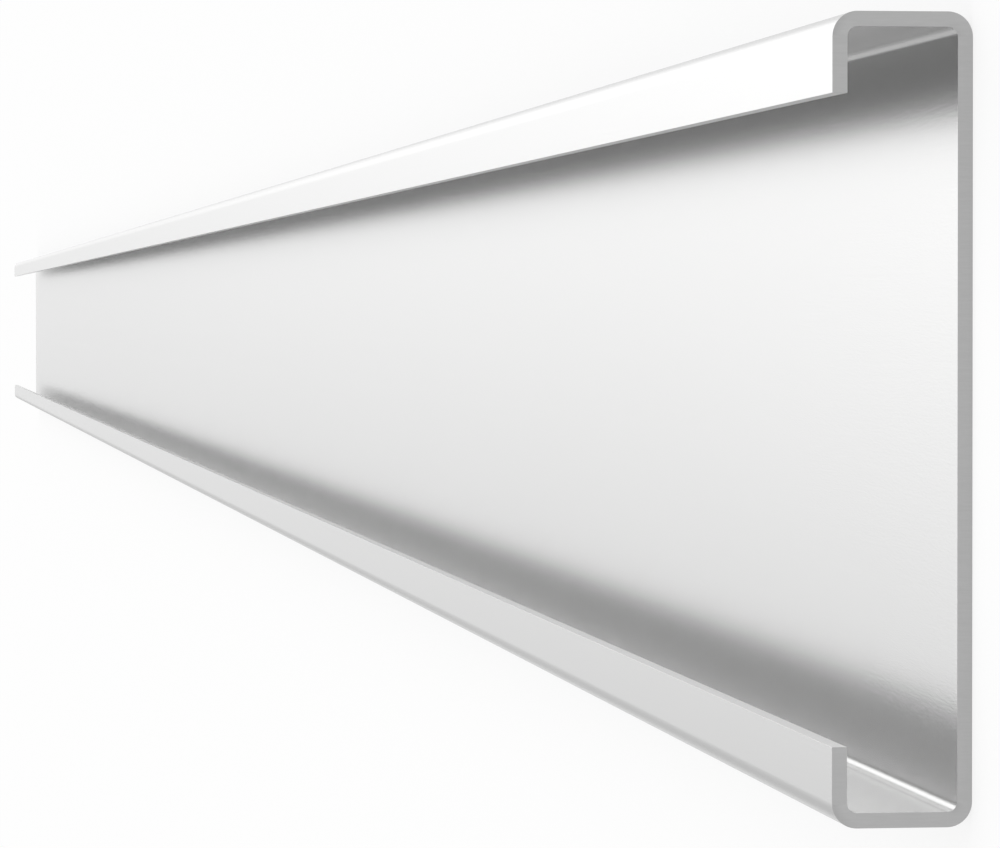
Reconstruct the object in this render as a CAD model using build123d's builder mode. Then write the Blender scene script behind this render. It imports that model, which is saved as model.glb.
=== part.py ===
# Stainless steel skirting board: one length of sheet folded into a lipped channel.
#
# A tall flat web is the face that shows in the room. Its two long edges turn back
# towards the wall as narrow flanges, and each flange turns in again as a lip. The
# lips lie against the wall, or hook over clips that are screwed to it. All four
# bends have the same inside radius, and the wall is as thick as the sheet all round.
#
# The board lies flat on its web, with the open side up:
#   X  along the board, from its far end to its near end
#   Y  across the board, towards the edge that is the top one on a wall
#   Z  up, from the web's outer face to the lips
# The origin is the middle of the web's outer face.

import os

from build123d import *

# Driving dimensions, in millimetres
board_length = 2500.0  # a stock length
board_height = 80.0  # over the outsides of the two flanges
board_depth = 14.0  # from the web's outer face to the lips' outer faces
lip_height = 8.0  # from a flange's outer face to the lip's free edge
sheet_thickness = 1.5
bend_radius = 1.0  # on the inside of each bend
edge_radius = 0.2  # deburring of the lips' sheared edges
end_chamfer = 0.15  # deburring round the two sawn ends

# Sizes that follow from them
outer_bend_radius = bend_radius + sheet_thickness
half_height = board_height / 2
lip_edge = half_height - lip_height  # from the middle to a lip's free edge

with BuildPart() as skirting_board:
    # The folded sheet's section, halfway along the board
    with BuildSketch(Plane.YZ) as section:
        with BuildLine():
            # The outer face, from one lip's free edge round the web to the other's
            FilletPolyline(
                (lip_edge, board_depth),
                (half_height, board_depth),
                (half_height, 0),
                (-half_height, 0),
                (-half_height, board_depth),
                (-lip_edge, board_depth),
                radius=outer_bend_radius,
            )
            # The inner face, one thickness of sheet inside it
            offset(amount=sheet_thickness, side=Side.RIGHT)
        make_face()
        # The two corners at the sheared edge of each lip
        sheared_edges = section.edges().filter_by(Axis.Y).sort_by(Axis.X)[2:-2]
        fillet(sheared_edges.vertices(), radius=edge_radius)
    extrude(amount=board_length / 2, both=True)

    # The two sawn ends
    ends = skirting_board.faces().filter_by(Axis.X)
    chamfer(ends.edges(), length=end_chamfer)

skirting_board.part.label = "skirting_board"

os.makedirs("parts", exist_ok=True)
export_step(skirting_board.part, "parts/skirting_board.step")
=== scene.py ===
# Stainless steel skirting board, lying flat with its open side up.
# X runs along the board, Y across it and Z up, in metres.

import math
import bmesh
import bpy
from mathutils import Matrix, Vector


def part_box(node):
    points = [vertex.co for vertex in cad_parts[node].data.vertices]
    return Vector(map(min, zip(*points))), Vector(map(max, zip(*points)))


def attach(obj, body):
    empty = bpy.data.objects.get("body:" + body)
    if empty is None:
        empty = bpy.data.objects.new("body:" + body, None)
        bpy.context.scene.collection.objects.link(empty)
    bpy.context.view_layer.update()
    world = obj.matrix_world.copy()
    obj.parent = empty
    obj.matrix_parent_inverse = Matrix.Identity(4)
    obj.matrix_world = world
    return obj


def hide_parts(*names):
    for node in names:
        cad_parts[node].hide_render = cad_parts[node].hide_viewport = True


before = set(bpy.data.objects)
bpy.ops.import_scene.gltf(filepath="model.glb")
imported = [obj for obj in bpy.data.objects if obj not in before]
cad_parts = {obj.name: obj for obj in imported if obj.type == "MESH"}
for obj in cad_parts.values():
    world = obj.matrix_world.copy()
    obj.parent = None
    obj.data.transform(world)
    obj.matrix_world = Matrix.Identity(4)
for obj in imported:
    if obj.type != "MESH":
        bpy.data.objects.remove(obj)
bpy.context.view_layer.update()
print("frame loaded:", sorted(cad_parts))

scene = bpy.context.scene
scene.view_settings.view_transform = "Standard"

# The board is centred on X and Y and lies on zero, so the high corner of its box gives its sizes
halfLength, halfHeight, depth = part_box("skirting_board")[1]


# Small helpers for node trees

def addNode(tree, kind, place=(0, 0), **settings):
    node = tree.nodes.new(kind)
    node.location = place
    for name, value in settings.items():
        setattr(node, name, value)
    return node


def newMetal(name):
    material = bpy.data.materials.new(name)
    material.use_nodes = True
    tree = material.node_tree
    tree.nodes.clear()
    output = addNode(tree, "ShaderNodeOutputMaterial", (900, 0))
    shader = addNode(tree, "ShaderNodeBsdfPrincipled", (600, 0))
    shader.inputs["Metallic"].default_value = 1.0
    tree.links.new(shader.outputs["BSDF"], output.inputs["Surface"])
    return material, tree, shader


# What the grains and marks have in common
noiseDetail = 3.0
noiseRange = (0.3, 0.7)  # nearly all of a noise's values lie between these


def grainNoise(tree, place, stretch, size):
    # noise on the piece's own coordinates, drawn out by the three factors in stretch
    where = addNode(tree, "ShaderNodeTexCoord", (place[0] - 600, place[1]))
    mapping = addNode(tree, "ShaderNodeMapping", (place[0] - 400, place[1]))
    mapping.inputs["Scale"].default_value = [1 / factor for factor in stretch]
    noise = addNode(tree, "ShaderNodeTexNoise", (place[0] - 200, place[1]))
    noise.inputs["Scale"].default_value = 1 / size
    noise.inputs["Detail"].default_value = noiseDetail
    tree.links.new(where.outputs["Object"], mapping.inputs["Vector"])
    tree.links.new(mapping.outputs["Vector"], noise.inputs["Vector"])
    return noise.outputs["Fac"]


def spread(tree, source, low, high, place):
    # turns a noise value into one between low and high
    mapRange = addNode(tree, "ShaderNodeMapRange", place)
    mapRange.inputs["From Min"].default_value = noiseRange[0]
    mapRange.inputs["From Max"].default_value = noiseRange[1]
    mapRange.inputs["To Min"].default_value = low
    mapRange.inputs["To Max"].default_value = high
    tree.links.new(source, mapRange.inputs["Value"])
    return mapRange.outputs["Result"]


def blend(tree, first, second, share, place):
    # share is how much of the second value goes into the mix
    mix = addNode(tree, "ShaderNodeMix", place, data_type="FLOAT")
    mix.inputs["Factor"].default_value = share
    tree.links.new(first, mix.inputs["A"])
    tree.links.new(second, mix.inputs["B"])
    return mix.outputs["Result"]


def addBump(tree, shader, heights, reach, place):
    # reach is how many metres a height of 1 stands above a height of 0
    bump = addNode(tree, "ShaderNodeBump", place)
    bump.inputs["Distance"].default_value = reach
    tree.links.new(heights, bump.inputs["Height"])
    tree.links.new(bump.outputs["Normal"], shader.inputs["Normal"])


# Satin steel: the rolled and ground faces of the sheet
satin = {
    "grey": (0.679, 0.693),  # darkest and palest reflectance of the grain
    "tint": (1.0, 1.0, 0.9975),  # a trace warmer than neutral
    "grazing": 0.762,  # share of its gloss that is left at a low angle
    "roughness": (0.232, 0.250),
    "anisotropy": 0.817,
    "turn": 0.25,  # a quarter turn, so that the gloss spreads across the grain
    "dashWidth": 0.00026,  # the grain is short dashes, drawn out along the board
    "dashStretch": (4.0, 1.0, 1.0),
    "dashDepth": 0.00001,
    "lineWidth": 0.00012,  # and faint long grinding lines
    "lineStretch": (150.0, 1.0, 1.0),
    "cloudSize": 0.02,  # faint cloudiness from rolling, in patches drawn out along the board
    "cloudStretch": (5.0, 1.0, 1.0),
    "cloudShare": 0.3,
}


def satinSteel():
    material, tree, shader = newMetal("satinSteel")
    lines = grainNoise(tree, (-400, 300), satin["lineStretch"], satin["lineWidth"])
    clouds = grainNoise(tree, (-400, 0), satin["cloudStretch"], satin["cloudSize"])
    dashes = grainNoise(tree, (-400, -300), satin["dashStretch"], satin["dashWidth"])

    shade = blend(tree, lines, clouds, satin["cloudShare"], (-200, 300))
    grey = spread(tree, shade, *satin["grey"], (0, 300))
    colour = addNode(tree, "ShaderNodeVectorMath", (300, 300), operation="SCALE")
    colour.inputs[0].default_value = satin["tint"]
    tree.links.new(grey, colour.inputs["Scale"])
    tree.links.new(colour.outputs["Vector"], shader.inputs["Base Color"])
    shader.inputs["Specular Tint"].default_value = (satin["grazing"],) * 3 + (1.0,)

    dullness = blend(tree, dashes, clouds, satin["cloudShare"], (-200, 0))
    tree.links.new(spread(tree, dullness, *satin["roughness"], (0, 0)), shader.inputs["Roughness"])
    addBump(tree, shader, dashes, satin["dashDepth"], (300, -200))

    # the grain runs along X and spreads a highlight across itself
    along = addNode(tree, "ShaderNodeCombineXYZ", (300, -400))
    along.inputs["X"].default_value = 1.0
    tree.links.new(along.outputs["Vector"], shader.inputs["Tangent"])
    shader.inputs["Anisotropic"].default_value = satin["anisotropy"]
    shader.inputs["Anisotropic Rotation"].default_value = satin["turn"]
    return material


# Sawn steel: the two square ends, duller than the sheet's faces
sawn = {
    "grey": (0.443, 0.467),
    "roughness": 0.42,
    "markSize": 0.0002,
    "markStretch": (1.0, 1.0, 12.0),  # saw marks run through the board's depth
    "markDepth": 0.000002,
}

# Sheared steel: the free edges of the two lips, as the blade left them
sheared = {
    "grey": (0.605, 0.635),
    "roughness": 0.35,
    "markSize": 0.00015,
    "markStretch": (1.0, 1.0, 8.0),  # the blade's marks run through the sheet's thickness
    "markDepth": 0.000002,
}


def cutSteel(name, finish):
    material, tree, shader = newMetal(name)
    marks = grainNoise(tree, (-200, 100), finish["markStretch"], finish["markSize"])
    tree.links.new(spread(tree, marks, *finish["grey"], (0, 100)), shader.inputs["Base Color"])
    shader.inputs["Roughness"].default_value = finish["roughness"]
    addBump(tree, shader, marks, finish["markDepth"], (300, -100))
    return material


# The board: one strip of sheet, folded four times along its length
board = {
    "sheet": 0.0015,
    "lipHeight": 0.008,  # from a flange's outer face to the lip's free edge
    "outerBend": 0.0025,  # outside radius of the four bends
    "bendSteps": 16,
    "shearedEdge": 0.00002,  # rounding of the lips' free edges
    "shearedSteps": 3,
    "sawnEdge": 0.000015,  # deburring round both ends, less than the lips' rounding
    "sawnSteps": 2,
    "lengthCuts": 24,
    "flatWeight": 100,  # the largest faces lead, so that flat ones are evenly shaded beside bends
}

# The board's materials by their place in its list, after the satin steel
sawnPlace = 1
shearedPlace = 2

closeEnough = 0.000001  # metres between corners that are meant to be at the same place
endFacing = 0.9  # a face is at an end if X makes up more of its normal than this


def alongBoard(edge):
    across = edge.verts[1].co - edge.verts[0].co
    return abs(across.x) > halfLength


def atLipEdge(part):
    lipEdge = halfHeight - board["lipHeight"]
    return all(abs(abs(vert.co.y) - lipEdge) < closeEnough for vert in part.verts)


def roundEdges(bm, edges, radius, steps):
    rounded = bmesh.ops.bevel(
        bm, geom=edges, affect="EDGES", offset_type="OFFSET", offset=radius,
        segments=steps, profile=0.5, material=-1, clamp_overlap=False,
    )
    return rounded["faces"]


def finishFaces(faces, place):
    for face in faces:
        face.material_index = place


def makeBoard():
    lipEdge = halfHeight - board["lipHeight"]
    folds = [
        (lipEdge, depth),
        (halfHeight, depth),
        (halfHeight, 0),
        (-halfHeight, 0),
        (-halfHeight, depth),
        (-lipEdge, depth),
    ]
    bm = bmesh.new()
    corners = [bm.verts.new((-halfLength, y, z)) for y, z in folds]
    outline = [bm.edges.new(pair) for pair in zip(corners, corners[1:])]

    # the outer face, drawn out along the board and bent at its four folds
    drawn = bmesh.ops.extrude_edge_only(bm, edges=outline)["geom"]
    moved = [part for part in drawn if isinstance(part, bmesh.types.BMVert)]
    bmesh.ops.translate(bm, verts=moved, vec=(2 * halfLength, 0, 0))
    foldEdges = [edge for edge in bm.edges if alongBoard(edge) and len(edge.link_faces) == 2]
    roundEdges(bm, foldEdges, board["outerBend"], board["bendSteps"])

    # the sheet's thickness, inwards from the outer face
    bmesh.ops.recalc_face_normals(bm, faces=bm.faces)
    web = min(bm.faces, key=lambda face: face.calc_center_median().z)
    if web.normal.z > 0:
        bmesh.ops.reverse_faces(bm, faces=bm.faces)
    bmesh.ops.solidify(bm, geom=bm.faces[:], thickness=board["sheet"])
    bmesh.ops.remove_doubles(bm, verts=bm.verts, dist=closeEnough)
    bmesh.ops.recalc_face_normals(bm, faces=bm.faces)

    # the lips' sheared edges
    finishFaces([face for face in bm.faces if atLipEdge(face)], shearedPlace)
    lipCorners = [edge for edge in bm.edges if alongBoard(edge) and atLipEdge(edge)]
    lipRounds = roundEdges(bm, lipCorners, board["shearedEdge"], board["shearedSteps"])
    finishFaces(lipRounds, shearedPlace)

    # the two sawn ends, with their deburred rims
    endFaces = {face for face in bm.faces if abs(face.normal.x) > endFacing}
    finishFaces(endFaces, sawnPlace)
    rims = [edge for edge in bm.edges if len(endFaces & set(edge.link_faces)) == 1]
    rimRounds = roundEdges(bm, rims, board["sawnEdge"], board["sawnSteps"])
    finishFaces(rimRounds, sawnPlace)

    # even cuts along the length keep the faces from being long slivers
    longEdges = [edge for edge in bm.edges if alongBoard(edge)]
    bmesh.ops.subdivide_edges(bm, edges=longEdges, cuts=board["lengthCuts"], use_grid_fill=True)

    for face in bm.faces:
        face.smooth = True
    mesh = bpy.data.meshes.new("skirtingBoard")
    bm.to_mesh(mesh)
    bm.free()
    mesh.materials.append(satinSteel())
    mesh.materials.append(cutSteel("sawnSteel", sawn))
    mesh.materials.append(cutSteel("shearedSteel", sheared))
    piece = bpy.data.objects.new("skirtingBoard", mesh)
    scene.collection.objects.link(piece)
    weighted = piece.modifiers.new("evenShading", "WEIGHTED_NORMAL")
    weighted.mode = "FACE_AREA"
    weighted.weight = board["flatWeight"]
    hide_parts("skirting_board")
    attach(piece, "root")
    print("board made:", len(mesh.polygons), "faces")


# The floor is plain and pale. It shows as white to the camera and in the steel, less the board's shadow.
floor = {
    "radius": 150.0,
    "sides": 64,
    "drop": 0.00002,  # just under the board, so that the two faces don't lie in one plane
    "grey": 0.97,
    "white": 1.0,  # the strength that shows as white
    "shadowShare": 0.25,  # how much of what the camera sees comes from light on the floor
}


def floorWhite():
    material = bpy.data.materials.new("studioFloor")
    material.use_nodes = True
    tree = material.node_tree
    tree.nodes.clear()
    output = addNode(tree, "ShaderNodeOutputMaterial", (800, 0))
    matt = addNode(tree, "ShaderNodeBsdfDiffuse", (200, 100))
    matt.inputs["Color"].default_value = (floor["grey"], floor["grey"], floor["grey"], 1)
    white = addNode(tree, "ShaderNodeEmission", (200, -100))
    white.inputs["Strength"].default_value = floor["white"]
    rays = addNode(tree, "ShaderNodeLightPath", (-600, 0))
    mirrored = addNode(tree, "ShaderNodeMath", (-400, 0), operation="MAXIMUM")
    tree.links.new(rays.outputs["Is Glossy Ray"], mirrored.inputs[0])
    tree.links.new(rays.outputs["Is Transmission Ray"], mirrored.inputs[1])
    seen = addNode(tree, "ShaderNodeMath", (-200, 0), operation="MAXIMUM")
    tree.links.new(rays.outputs["Is Camera Ray"], seen.inputs[0])
    tree.links.new(mirrored.outputs["Value"], seen.inputs[1])
    share = addNode(tree, "ShaderNodeMath", (0, 0), operation="MULTIPLY")
    share.inputs[1].default_value = 1 - floor["shadowShare"]
    tree.links.new(seen.outputs["Value"], share.inputs[0])
    mixed = addNode(tree, "ShaderNodeMixShader", (500, 0))
    tree.links.new(share.outputs["Value"], mixed.inputs["Fac"])
    tree.links.new(matt.outputs["BSDF"], mixed.inputs[1])
    tree.links.new(white.outputs["Emission"], mixed.inputs[2])
    tree.links.new(mixed.outputs["Shader"], output.inputs["Surface"])
    return material


def makeFloor():
    bm = bmesh.new()
    bmesh.ops.create_circle(bm, cap_ends=True, segments=floor["sides"], radius=floor["radius"])
    bmesh.ops.translate(bm, verts=bm.verts, vec=(0, 0, -floor["drop"]))
    mesh = bpy.data.meshes.new("studioFloor")
    bm.to_mesh(mesh)
    bm.free()
    mesh.materials.append(floorWhite())
    ground = bpy.data.objects.new("studioFloor", mesh)
    scene.collection.objects.link(ground)
    print("floor made")


# The studio: even light from all round, and one large soft lamp low beyond the far end,
# on the side of the board's upper edge.
studio = {
    "lowLevel": 0.706,  # the even light near the floor
    "highLevel": 1.06,  # and straight above
    "lampTowards": (-0.8935, 0.3420, 0.2910),
    "lampFlatness": 1.144,  # above 1, a shallower lamp, and below 1 a taller one
    "lampEdge": (31.2, 15.2),  # degrees from the lamp's middle, outside and inside its soft edge
    "lampLevel": 1.073,  # what the lamp adds
}


def makeStudio():
    world = bpy.data.worlds.new("studio")
    scene.world = world
    world.use_nodes = True
    tree = world.node_tree
    tree.nodes.clear()
    output = addNode(tree, "ShaderNodeOutputWorld", (900, 0))
    light = addNode(tree, "ShaderNodeBackground", (700, 0))
    where = addNode(tree, "ShaderNodeTexCoord", (-1000, 0))

    # the even light, by the height that a ray comes from
    axes = addNode(tree, "ShaderNodeSeparateXYZ", (-400, 200))
    tree.links.new(where.outputs["Generated"], axes.inputs["Vector"])
    even = addNode(tree, "ShaderNodeMapRange", (100, 200))
    even.inputs["To Min"].default_value = studio["lowLevel"]
    even.inputs["To Max"].default_value = studio["highLevel"]
    tree.links.new(axes.outputs["Z"], even.inputs["Value"])

    # the lamp, by the angle between the ray and the lamp's middle
    shape = Vector((1, 1, studio["lampFlatness"]))
    shaped = addNode(tree, "ShaderNodeVectorMath", (-800, -100), operation="MULTIPLY")
    shaped.inputs[1].default_value = shape
    tree.links.new(where.outputs["Generated"], shaped.inputs[0])
    straight = addNode(tree, "ShaderNodeVectorMath", (-600, -100), operation="NORMALIZE")
    tree.links.new(shaped.outputs["Vector"], straight.inputs[0])
    facing = addNode(tree, "ShaderNodeVectorMath", (-400, -100), operation="DOT_PRODUCT")
    facing.inputs[1].default_value = (Vector(studio["lampTowards"]) * shape).normalized()
    tree.links.new(straight.outputs["Vector"], facing.inputs[0])
    angle = addNode(tree, "ShaderNodeMath", (-200, -100), operation="ARCCOSINE")
    tree.links.new(facing.outputs["Value"], angle.inputs[0])
    lamp = addNode(tree, "ShaderNodeMapRange", (100, -100), interpolation_type="SMOOTHSTEP")
    lamp.inputs["From Min"].default_value = math.radians(studio["lampEdge"][0])
    lamp.inputs["From Max"].default_value = math.radians(studio["lampEdge"][1])
    lamp.inputs["To Max"].default_value = studio["lampLevel"]
    tree.links.new(angle.outputs["Value"], lamp.inputs["Value"])

    total = addNode(tree, "ShaderNodeMath", (400, 0), operation="ADD")
    tree.links.new(even.outputs["Result"], total.inputs[0])
    tree.links.new(lamp.outputs["Result"], total.inputs[1])
    tree.links.new(total.outputs["Value"], light.inputs["Color"])
    tree.links.new(light.outputs["Background"], output.inputs["Surface"])
    print("studio made")


# The camera looks down along the board from past its near end, on its side,
# so that the board's upper edge is at the top of the picture.
view = {
    "place": (1.73364, 0.01060, 0.10893),
    "turn": -0.1279,  # in radians, towards the floor, from looking straight along the board
    "tip": -0.0222,  # towards the board's lower edge
    "roll": -0.0008,
    "lens": 181.2,  # in millimetres, and the sensor too
    "sensor": 36.0,
    "nearest": 0.01,
    "furthest": 400.0,
}


def makeCamera():
    data = bpy.data.cameras.new("camera")
    data.sensor_width = view["sensor"]
    data.lens = view["lens"]
    data.clip_start = view["nearest"]
    data.clip_end = view["furthest"]
    camera = bpy.data.objects.new("camera", data)
    scene.collection.objects.link(camera)
    # columns: picture right is down to the floor, picture up is across the board, and back is along it
    lyingDown = Matrix(((0, 0, 1), (0, 1, 0), (-1, 0, 0)))
    turned = Matrix.Rotation(view["turn"], 3, "Y") @ Matrix.Rotation(view["tip"], 3, "X")
    aim = lyingDown @ turned @ Matrix.Rotation(view["roll"], 3, "Z")
    camera.matrix_world = Matrix.Translation(Vector(view["place"])) @ aim.to_4x4()
    scene.camera = camera
    print("camera set")


makeCamera()
makeStudio()
makeFloor()
makeBoard()
